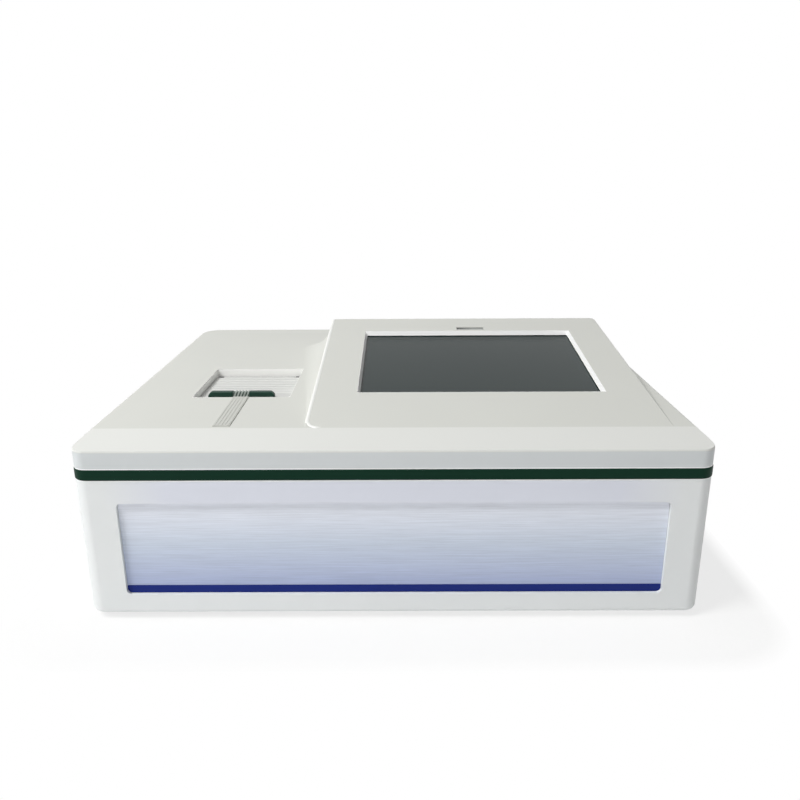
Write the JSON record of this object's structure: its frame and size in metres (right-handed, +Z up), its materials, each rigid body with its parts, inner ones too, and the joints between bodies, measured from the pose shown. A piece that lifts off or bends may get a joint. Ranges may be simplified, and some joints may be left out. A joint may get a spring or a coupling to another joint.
{
  "type": "infrared spectrophotometer",
  "caption": "Benchtop infrared spectrophotometer: low white case with a tilted touch-screen console, a lidded sample well and an enclosed grating optical bench.",
  "frame": {"origin": "on the surface the instrument stands on, under the middle of the case", "axes": "+X to the right seen from the front, +Y to the back, +Z up"},
  "size_m": [0.501, 0.426, 0.1852],
  "materials": {
    "case_white": "moulded, fine satin texture",
    "band_green": "moulded, satin",
    "satin_panel": "brushed along its length and clear coated",
    "stripe_navy": "painted strip, satin",
    "screen_glass": "clear, faintly grey",
    "display_grey": "dark grey switched-off display",
    "gasket_black": "closed-cell foam",
    "lid_grey": "moulded, satin",
    "pull_green": "moulded, satin",
    "grip_rubber": "moulded, ribbed",
    "chamber_black": "black anodised, matt",
    "crystal": "polished crystal window",
    "smoked_window": "smoked, glossy",
    "steel": "zinc plated, satin",
    "bright_metal": "nickel plated",
    "brass": "turned",
    "cast_alloy": "machined, satin",
    "mirror_coat": "polished metal coating",
    "lamp_ceramic": "unglazed ceramic",
    "board_green": "solder-masked board",
    "black_plastic": "moulded, satin",
    "foot_rubber": "moulded rubber",
    "rear_grey": "powder coated, satin"
  },
  "bodies": {
    "case": {"lower_shell": "case_white", "front_panel": "satin_panel", "front_stripe": "stripe_navy", "trim_band": "band_green", "upper_cover": "case_white", "screen_gasket": "gasket_black", "touch_glass": "screen_glass", "display_module": "display_grey", "display_bracket": "steel", "status_window": "smoked_window", "sample_chamber": "chamber_black", "chamber_windows": "crystal", "lid_hinge_pin": "steel", "cuvette_holder": "chamber_black", "holder_spring": "bright_metal", "optical_bench": "cast_alloy", "lamp_house": "chamber_black", "ir_lamp": "lamp_ceramic", "lamp_reflector": "mirror_coat", "chopper_motor": "steel", "chopper_bracket": "steel", "monochromator_case": "chamber_black", "monochromator_lid": "chamber_black", "slit_plates": "steel", "fixed_mirrors": "mirror_coat", "mirror_mounts": "cast_alloy", "turret_post": "cast_alloy", "stepper_motor": "steel", "ir_detector": "bright_metal", "preamp_board": "board_green", "preamp_bracket": "steel", "main_board": "board_green", "power_supply": "cast_alloy", "standoffs": "bright_metal", "inner_screws": "steel", "rear_panel": "rear_grey", "rear_screws": "steel", "power_inlet": "black_plastic", "inlet_pins": "bright_metal", "fan_frame": "black_plastic", "fan_guard": "steel", "usb_port": "bright_metal", "network_port": "bright_metal", "serial_port": "bright_metal", "feet": "foot_rubber", "foot_screws": "steel", "case_screws": "steel"},
    "lid": {"sample_lid": "lid_grey", "lid_pull": "pull_green", "pull_grip": "grip_rubber"},
    "chopper": {"chopper_wheel": "chamber_black"},
    "turret": {"grating_turret": "cast_alloy", "drive_gear": "brass", "diffraction_grating": "mirror_coat"},
    "pinion": {"drive_pinion": "brass"},
    "fan": {"fan_rotor": "black_plastic"},
    "rocker": {"power_rocker": "black_plastic"},
    "drawer": {"fuse_drawer": "black_plastic", "mains_fuse": "crystal"}
  },
  "joints": [
    {"name": "lid_hinge", "type": "hinge", "parent": "case", "child": "lid", "pos_m": [-0.1415, 0.008, 0.143], "axis": [-1, 0, 0], "range_deg": [0, 100]},
    {"name": "chopper_spin", "type": "hinge", "parent": "case", "child": "chopper", "pos_m": [-0.094, -0.0405, 0.058], "axis": [1, 0, 0], "continuous": true},
    {"name": "turret_turn", "type": "hinge", "parent": "case", "child": "turret", "pos_m": [-0.008, 0.022, 0.07], "axis": [0, 0, 1], "range_deg": [-15, 15]},
    {"name": "pinion_turn", "type": "hinge", "parent": "case", "child": "pinion", "pos_m": [0.037, 0.022, 0.065], "axis": [0, 0, 1], "range_deg": [-60, 60]},
    {"name": "fan_spin", "type": "hinge", "parent": "case", "child": "fan", "pos_m": [-0.15, 0.196, 0.066], "axis": [0, 1, 0], "continuous": true},
    {"name": "power_switch", "type": "hinge", "parent": "case", "child": "rocker", "pos_m": [0.165, 0.2065, 0.086], "axis": [-1, 0, 0], "range_deg": [0, 16]},
    {"name": "fuse_drawer_slide", "type": "slide", "parent": "case", "child": "drawer", "axis": [0, 1, 0], "range_m": [0, 0.018]}
  ],
  "couplings": [
    {"joint": "pinion_turn", "follows": "turret_turn", "ratio": -4}
  ]
}
